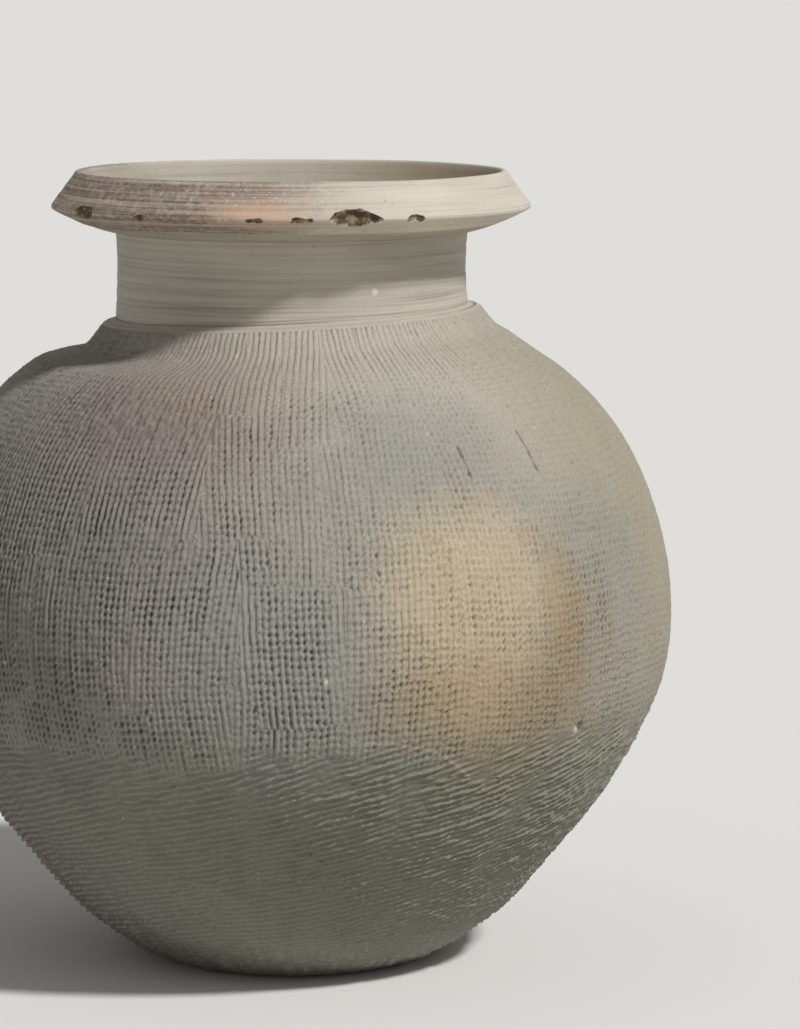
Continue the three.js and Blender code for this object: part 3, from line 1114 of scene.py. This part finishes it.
def patch_group():
    """A ragged-edged patch: 1 within a ball of the given reach, fading over its soft edge."""
    group, tree, given, result = new_group(
        "ragged_patch",
        (
            ("Centre", "NodeSocketVector", (0, 0, 0)),
            ("Reach", "NodeSocketVector", (0.05, 0.05, 0.05)),
            ("Softness", "NodeSocketFloat", 0.3),
            ("Raggedness", "NodeSocketFloat", 0.4),
            ("Grain", "NodeSocketFloat", 60.0),
        ),
        (("Mask", "NodeSocketFloat"),),
    )
    place = tree.place()
    apart = tree.vector("SUBTRACT", place, given["Centre"])
    scaled = tree.vector("DIVIDE", apart[0], given["Reach"])
    distance = tree.vector("LENGTH", scaled[0])["Value"]
    waver = tree.maths("SUBTRACT", tree.noise(place, given["Grain"], 5.0, 0.65), 0.5)
    reach = tree.maths("MULTIPLY_ADD", waver, given["Raggedness"], distance)
    inner = tree.maths("SUBTRACT", 1.0, given["Softness"])
    outer = tree.maths("ADD", 1.0, given["Softness"])
    tree.feed(result["Mask"], tree.ramp(reach, inner, outer, 1.0, 0.0))
    return group


def grain_group():
    """Clay at three scales: broad mottle, sandy grain, and scattered pale and dark specks."""
    group, tree, given, result = new_group(
        "fired_grain",
        (("Mottle Scale", "NodeSocketFloat", 14.0), ("Grain Scale", "NodeSocketFloat", 900.0)),
        (
            ("Mottle", "NodeSocketFloat"),
            ("Grain", "NodeSocketFloat"),
            ("Pale Specks", "NodeSocketFloat"),
            ("Dark Specks", "NodeSocketFloat"),
        ),
    )
    place = tree.place()
    tree.feed(result["Mottle"], tree.noise(place, given["Mottle Scale"], 6.0, 0.6, 0.4))
    grain = tree.noise(place, given["Grain Scale"], 4.0, 0.65)
    tree.feed(result["Grain"], grain)
    specks = tree.noise(place, tree.times(given["Grain Scale"], 0.45), 2.0, 0.5)
    tree.feed(result["Pale Specks"], tree.ramp(specks, 0.7, 0.77))
    tree.feed(result["Dark Specks"], tree.ramp(specks, 0.31, 0.25))
    return group


def turning_group():
    """Level lines from turning: noise squeezed along Z."""
    group, tree, given, result = new_group(
        "turning_lines",
        (("Fineness", "NodeSocketFloat", 900.0),),
        (("Lines", "NodeSocketFloat"), ("Streaks", "NodeSocketFloat")),
    )
    place = tree.place()
    fine = tree.add("ShaderNodeCombineXYZ", {"X": 9.0, "Y": 9.0, "Z": given["Fineness"]})
    lines = tree.noise(tree.stretched(place, fine.outputs[0]), 1.0, 3.0, 0.6)
    streaks = tree.noise(tree.stretched(place, (22, 22, 260)), 1.0, 5.0, 0.65)
    tree.feed(result["Lines"], lines)
    tree.feed(result["Streaks"], streaks)
    return group


def soil_and_shade_group():
    """Darkening in the hollows, soil and painted shade together: a colour darkened towards the
    soil colour where the surface is hollow, and lightened a little on the worn ridges."""
    group, tree, given, result = new_group(
        "soil_and_shade_in_hollows",
        (
            ("Color", "NodeSocketColor", (0.5, 0.5, 0.5, 1)),
            ("Soil And Shade", "NodeSocketColor", (0.1, 0.1, 0.1, 1)),
            ("Hollow", "NodeSocketFloat", 0.0),
            ("Amount", "NodeSocketFloat", 0.6),
        ),
        (("Color", "NodeSocketColor"),),
    )
    # How dark the hollow goes: soil and painted shade.
    held = tree.times(tree.ramp(given["Hollow"], 0.3, 1.0), given["Amount"])
    ridge = tree.ramp(given["Hollow"], 0.22, 0.0, 0.0, 0.16)
    worn = tree.mix(ridge, given["Color"], (1, 1, 1, 1), "SOFT_LIGHT")
    tree.feed(result["Color"], tree.mix(held, worn, given["Soil And Shade"]))
    return group


def group_named(name):
    """A shader node group, built the first time that it is asked for."""
    makers = {
        "ragged_patch": patch_group,
        "fired_grain": grain_group,
        "turning_lines": turning_group,
        "soil_and_shade_in_hollows": soil_and_shade_group,
    }
    return bpy.data.node_groups.get(name) or makers[name]()


def use_group(tree, name, inputs=None):
    """The outputs of a new node of the named group."""
    return tree.add("ShaderNodeGroup", inputs, node_tree=group_named(name)).outputs


def new_clay(name):
    """An empty clay material: the material, its tree and its shader."""
    material = bpy.data.materials.new(name)
    material.use_nodes = True
    shader = material.node_tree.nodes["Principled BSDF"]
    shader.inputs["Specular IOR Level"].default_value = CLAY_SPECULAR
    return material, NodeTree(material.node_tree), shader


def surface(tree, shader, paint, grain, height, strength, distance):
    """Feeds the shader its colour, a roughness that follows the grain, and a bump."""
    inputs = {"Strength": strength, "Distance": distance, "Height": height}
    bump = tree.add("ShaderNodeBump", inputs)
    tree.feed(shader.inputs["Base Color"], paint)
    tree.feed(shader.inputs["Roughness"], tree.ramp(grain, 0.3, 0.7, 0.76, 0.96))
    tree.feed(shader.inputs["Normal"], bump.outputs["Normal"])


def on_surface(degrees, height, radius):
    """The point in metres at a turn in degrees, a height and a radius in millimetres."""
    angle = math.radians(degrees)
    return tuple(part * MM for part in (radius * math.cos(angle), radius * math.sin(angle), height))


def patch_mask(tree, place, reach, soft, ragged, grain):
    """A ragged patch: its place is (degrees round the jar, height, radius) and its reach (round,
    up), with all lengths in millimetres."""
    across, high = reach
    inputs = {
        "Centre": on_surface(*place),
        "Reach": (across * MM, across * MM, high * MM),
        "Softness": soft,
        "Raggedness": ragged,
        "Grain": grain,
    }
    return use_group(tree, "ragged_patch", inputs)["Mask"]


def soiled_and_shaded(tree, paint, colours, amount):
    """A colour darkened in its hollows, as soil and painted shade, and with its pale scars."""
    soil_and_shade = {"Color": paint, "Soil And Shade": colours.soil_and_shade, "Hollow": tree.layer("hollow"), "Amount": amount}
    paint = use_group(tree, "soil_and_shade_in_hollows", soil_and_shade)["Color"]
    return tree.mix(tree.layer("pale"), paint, colours.pale)


# Patches of colour on the body: colour, place, reach round and up in millimetres, softness,
# raggedness, grain, strength.
BODY_PATCHES = (
    ("cream", (-64, 238), (70, 34), 0.6, 0.5, 28, 0.75),
    ("beige", (-12, 186), (74, 90), 0.6, 0.6, 25, 0.8),
    # Painted shade: the left side, away from the lamp, darkened to smoky grey.
    ("smoke_and_shade", (-138, 168), (84, 74), 0.6, 0.5, 20, 0.7),
    # Painted shade: the lower body darkened to olive grey.
    ("umber_and_shade", (-62, 58), (160, 50), 0.7, 0.9, 24, 0.85),
    ("blue", (-70, 205), (34, 22), 0.7, 1.0, 45, 0.6),
    ("blue", (-36, 160), (24, 34), 0.6, 0.8, 45, 0.6),
    ("blue", (-92, 142), (44, 46), 0.7, 0.8, 32, 0.6),
    ("plum", (-115, 218), (50, 24), 0.7, 1.4, 90, 0.42),
    ("ochre", (-56, 130), (42, 40), 0.55, 0.9, 50, 0.55),
    ("smoke_and_shade", (-50, 124), (20, 22), 0.6, 0.9, 60, 0.4),
    ("cloud", (-64, 152), (34, 38), 0.5, 0.8, 48, 0.8),
    ("ochre", (-62, 118), (38, 16), 0.6, 1.0, 60, 0.5),
    ("ochre", (-47, 146), (9, 32), 0.6, 1.2, 80, 0.5),
    ("rust", (-51.7, 175.5), (8, 3), 0.6, 2.2, 300, 0.38),
    ("rust", (-46.7, 137), (3, 9), 0.6, 2.2, 300, 0.45),
    ("rust", (-69.2, 176), (5, 4), 0.7, 2.2, 300, 0.34),
    ("rust", (-66.9, 168), (3, 7), 0.7, 2.2, 300, 0.38),
    ("rust", (-60, 189), (16, 3), 0.7, 2.4, 280, 0.3),
    ("rust", (-56, 203), (8, 3), 0.7, 2.4, 300, 0.25),
    ("rust", (-111, 222), (16, 6), 0.7, 2.6, 280, 0.25),
)


def body_clay(name, colours, sizes):
    """The body: grey clay with its patches, among them painted shade on the left side and low
    down, specks, soil and painted shade in the cord marks and cuts, pale scars, and cream where
    it was smoothed."""
    material, tree, shader = new_clay(name)
    grains = use_group(tree, "fired_grain", {"Mottle Scale": 13.0, "Grain Scale": 950.0})
    speckle = tree.ramp(tree.noise(tree.place(), 420.0, 3.0, 0.6), 0.46, 0.6)
    paint = tree.mix(tree.ramp(grains["Mottle"], 0.38, 0.68, 0, 0.55), colours.grey, colours.blue)
    for hue, (degrees, height), reach, soft, ragged, grain, strength in BODY_PATCHES:
        _, _, radius = on_body(degrees, height, sizes)
        mask = patch_mask(tree, (degrees, height, radius / MM), reach, soft, ragged, grain)
        if hue == "rust":
            mask = tree.times(mask, speckle)
        paint = tree.mix(tree.times(mask, strength), paint, getattr(colours, hue))
    paint = tree.mix(tree.layer("smoothed"), paint, colours.cream)
    dim = tree.mix(1.0, paint, (0.55, 0.55, 0.55, 1), "MULTIPLY")
    paint = tree.mix(tree.ramp(grains["Grain"], 0.35, 0.65, 0.0, 0.3), paint, dim)
    paint = tree.mix(tree.times(grains["Pale Specks"], 0.4), paint, colours.pale)
    paint = tree.mix(tree.times(grains["Dark Specks"], 0.35), paint, colours.soil_and_shade)
    paint = soiled_and_shaded(tree, paint, colours, 0.56)
    surface(tree, shader, paint, grains["Grain"], grains["Grain"], 0.7, 0.5 * MM)
    return material


def turned_clay(name, colours, light, dark, stain, amount, streaky=1.0):
    """Clay smoothed by turning: level lines and streaks between two colours, painted shade along
    the lines' low parts, stains, and soil and painted shade in the hollows.
    """
    material, tree, shader = new_clay(name)
    grains = use_group(tree, "fired_grain", {"Mottle Scale": 20.0, "Grain Scale": 1300.0})
    lines = use_group(tree, "turning_lines", {"Fineness": 1100.0})
    share = tree.maths("MULTIPLY_ADD", lines["Streaks"], 0.5, tree.times(grains["Mottle"], 0.5))
    paint = tree.mix(tree.ramp(share, 0.36, 0.66, 0.0, streaky), light, dark)
    paint = stain(tree, paint, grains, lines)
    # Darker where the turning lines run low: painted shade in their grooves.
    dim = tree.mix(1.0, paint, (0.68, 0.66, 0.64, 1), "MULTIPLY")
    paint = tree.mix(tree.ramp(lines["Lines"], 0.5, 0.28, 0.0, 0.6), paint, dim)
    paint = tree.mix(tree.times(grains["Dark Specks"], 0.3), paint, colours.soil_and_shade)
    paint = soiled_and_shaded(tree, paint, colours, amount)
    height = tree.maths("MULTIPLY_ADD", lines["Lines"], 0.7, tree.times(grains["Grain"], 0.3))
    surface(tree, shader, paint, grains["Grain"], height, 0.45, 0.25 * MM)
    return material


def no_stain(tree, paint, grains, lines):
    """Leaves the colour as it is."""
    return paint


def neck_clay(colours):
    """The neck: cream-grey with level lines, one pale inclusion at the front."""

    def stain(tree, paint, grains, lines):
        spot = patch_mask(tree, (-62.6, 258.4, 66.3), (1.3, 1.3), 0.5, 1.4, 600)
        return tree.mix(spot, paint, colours.pale)

    return turned_clay("neck_clay", colours, colours.cream, colours.grey, stain, 0.4, 0.5)


def axis_distance(tree):
    """How far the place is from the jar's axis, in metres."""
    place = tree.add("ShaderNodeSeparateXYZ", {"Vector": tree.place()}).outputs
    level = tree.add("ShaderNodeCombineXYZ", {"X": place["X"], "Y": place["Y"]})
    return tree.vector("LENGTH", level.outputs[0])["Value"]


def flare_paint(tree, grains, colours):
    """The clay inside the rim: mottled grey, browner at the back right."""
    grey = tree.mix(tree.ramp(grains["Mottle"], 0.35, 0.7), colours.flare, colours.beige)
    brown = patch_mask(tree, (34, 296, 74), (50, 18), 0.7, 0.9, 45)
    return tree.mix(tree.times(brown, 0.6), grey, colours.ochre)


def broken_paint(tree, colours):
    """Broken clay: dark brown with ochre and pinkish crumbs."""
    crumbs = tree.noise(tree.place(), 330.0, 3.0, 0.6)
    broken = tree.mix(tree.ramp(crumbs, 0.44, 0.64, 0.0, 0.8), colours.broken, colours.ochre)
    return tree.mix(tree.ramp(crumbs, 0.62, 0.68, 0.0, 0.7), broken, colours.rim_blush)


def rim_clay(colours):
    """The rim: cream at the right, streaked with purple-brown at the left, a pinkish blush and
    pale scratches between, grey inside, and rough brown clay where it is chipped."""

    def stain(tree, paint, grains, lines):
        worn = tree.ramp(tree.noise(tree.place(), 420.0, 4.0, 0.7), 0.4, 0.56, 0.6, 1.0)
        left = patch_mask(tree, (-152, 292, 92), (96, 40), 0.4, 0.8, 30)
        streaks = tree.ramp(lines["Lines"], 0.58, 0.46, 0.55, 1.0)
        paint = tree.mix(tree.times(left, tree.times(streaks, worn)), paint, colours.rim_plum)
        blush = patch_mask(tree, (-98, 289.5, 88), (15, 4.5), 0.8, 1.6, 110)
        paint = tree.mix(tree.times(blush, worn), paint, colours.rim_blush)
        plum = patch_mask(tree, (-99, 296.5, 84), (15, 4), 0.7, 1.4, 110)
        plum = tree.times(plum, tree.times(streaks, 0.8))
        paint = tree.mix(plum, paint, colours.rim_plum)
        scuffed = patch_mask(tree, (-104, 295, 86), (34, 6), 0.6, 1.2, 90)
        scratch = tree.ramp(tree.noise(tree.place(), 800.0, 2.0, 0.5, 1.5), 0.6, 0.68, 0.0, 0.7)
        paint = tree.mix(tree.times(scuffed, scratch), paint, colours.pale)
        within = tree.ramp(axis_distance(tree), 80.5 * MM, 78 * MM)
        paint = tree.mix(within, paint, flare_paint(tree, grains, colours))
        broken = broken_paint(tree, colours)
        return tree.mix(tree.layer("fresh"), paint, broken)

    return turned_clay("rim_clay", colours, colours.rim, colours.cream, stain, 0.55)


# Steps of the work


class JAR_OT_body(bpy.types.Operator):
    """Builds the nine cord-marked wall courses"""

    bl_idname = "jar.body"
    bl_label = "Wall courses"

    def execute(self, context):
        scene = context.scene
        material = body_clay("body_clay", scene.clay_colours, scene.jar_sizes)
        for course in range(COURSES):
            piece = wall_course(course, scene.jar_sizes, scene.cord_marks)
            finish_piece(piece, f"wall_course_{course + 1}", material)
        return {"FINISHED"}


class JAR_OT_base(bpy.types.Operator):
    """Builds the pad that the jar stands on"""

    bl_idname = "jar.base"
    bl_label = "Base"

    def execute(self, context):
        scene = context.scene
        colours = scene.clay_colours
        material = turned_clay("base_clay", colours, colours.umber_and_shade, colours.smoke_and_shade, no_stain, 0.5)
        piece = base_pad(scene.jar_sizes)
        finish_piece(piece, "base_disc", material)
        return {"FINISHED"}


class JAR_OT_neck(bpy.types.Operator):
    """Builds the neck and the smoothed band over its seam"""

    bl_idname = "jar.neck"
    bl_label = "Neck and band"

    def execute(self, context):
        scene = context.scene
        colours = scene.clay_colours
        collar = neck_collar(scene.jar_sizes, scene.cord_marks)
        finish_piece(collar, "neck_collar", neck_clay(colours))
        band = seam_band(scene.jar_sizes, scene.cord_marks)
        material = body_clay("seam_clay", colours, scene.jar_sizes)
        finish_piece(band, "neck_seam_band", material)
        return {"FINISHED"}


class JAR_OT_rim(bpy.types.Operator):
    """Builds the bevelled, chipped rim"""

    bl_idname = "jar.rim"
    bl_label = "Rim"

    def execute(self, context):
        scene = context.scene
        piece = rim_flange(scene.jar_sizes, scene.cord_marks)
        finish_piece(piece, "rim_flange", rim_clay(scene.clay_colours))
        return {"FINISHED"}


def pale_floor(settings):
    """A wide level floor with a plain matt finish."""
    corners = 60 * np.array([(-1, -1, 0), (1, -1, 0), (1, 1, 0), (-1, 1, 0)])
    up = np.array([(0.0, 0.0, 1.0)] * 4)
    floor = clay_object("floor", corners, [np.array([[0, 1, 2, 3]])], up, {})
    paint = bpy.data.materials.new("floor_paint")
    paint.use_nodes = True
    shader = paint.node_tree.nodes["Principled BSDF"]
    shader.inputs["Base Color"].default_value = settings.floor
    shader.inputs["Roughness"].default_value = 1
    shader.inputs["Specular IOR Level"].default_value = 0
    floor.data.materials.append(paint)


def studio_light(scene, settings):
    """An even room and one soft lamp. Behind the floor the camera sees the floor's own colour."""
    lamp = bpy.data.lights.new("soft_lamp", "SUN")
    lamp.energy = settings.lamp
    lamp.angle = settings.lamp_softness
    held = bpy.data.objects.new("soft_lamp", lamp)
    held.rotation_euler = (np.pi / 2 - settings.lamp_height, 0, np.pi / 2 + settings.lamp_side)
    scene.collection.objects.link(held)
    world = bpy.data.worlds.new("studio")
    world.use_nodes = True
    tree = NodeTree(world.node_tree)
    path = tree.add("ShaderNodeLightPath").outputs
    seen = tree.maths("ADD", path["Is Camera Ray"], path["Is Glossy Ray"])
    seen = tree.maths("MINIMUM", tree.maths("ADD", seen, path["Is Transmission Ray"]), 1.0)
    level = settings.room + settings.lamp * math.sin(settings.lamp_height) / math.pi
    room = tree.add("ShaderNodeBackground", {"Color": (1, 1, 1, 1), "Strength": settings.room})
    far = tree.add("ShaderNodeBackground", {"Color": settings.floor, "Strength": level})
    blend = tree.add("ShaderNodeMixShader")
    for socket, value in zip(blend.inputs, (seen, room.outputs[0], far.outputs[0])):
        tree.feed(socket, value)
    tree.feed(world.node_tree.nodes["World Output"].inputs["Surface"], blend.outputs[0])
    scene.world = world


class JAR_OT_stage(bpy.types.Operator):
    """Lays the floor, hangs the light and sets the camera"""

    bl_idname = "jar.stage"
    bl_label = "Stage"

    def execute(self, context):
        scene = context.scene
        pale_floor(scene.stage_settings)
        studio_light(scene, scene.stage_settings)
        lens = bpy.data.cameras.new("camera")
        lens.lens = CAMERA_LENS
        lens.clip_end = 200
        camera = bpy.data.objects.new("camera", lens)
        camera.location = CAMERA_PLACE
        camera.rotation_euler = (math.radians(90 - CAMERA_DOWN), 0, -math.radians(CAMERA_RIGHT))
        scene.collection.objects.link(camera)
        scene.camera = camera
        scene.view_settings.view_transform = "Standard"
        return {"FINISHED"}


class JAR_PT_panel(bpy.types.Panel):
    """Lists the jar's steps"""

    bl_label = "Jar"
    bl_space_type = "VIEW_3D"
    bl_region_type = "UI"
    bl_category = "Jar"

    def draw(self, context):
        for step in STEPS:
            self.layout.operator(step.bl_idname)


SETTINGS = {
    "jar_sizes": JarSizes,
    "cord_marks": CordMarks,
    "clay_colours": ClayColours,
    "stage_settings": StageSettings,
}
STEPS = (JAR_OT_base, JAR_OT_body, JAR_OT_neck, JAR_OT_rim, JAR_OT_stage)
CLASSES = (*SETTINGS.values(), *STEPS, JAR_PT_panel)


def register():
    for made in CLASSES:
        bpy.utils.register_class(made)
    for name, made in SETTINGS.items():
        setattr(bpy.types.Scene, name, PointerProperty(type=made))


def unregister():
    for name in SETTINGS:
        delattr(bpy.types.Scene, name)
    for made in reversed(CLASSES):
        bpy.utils.unregister_class(made)


def main():
    register()
    bpy.ops.jar.base()
    bpy.ops.jar.body()
    bpy.ops.jar.neck()
    bpy.ops.jar.rim()
    bpy.ops.jar.stage()


if __name__ == "__main__":
    main()
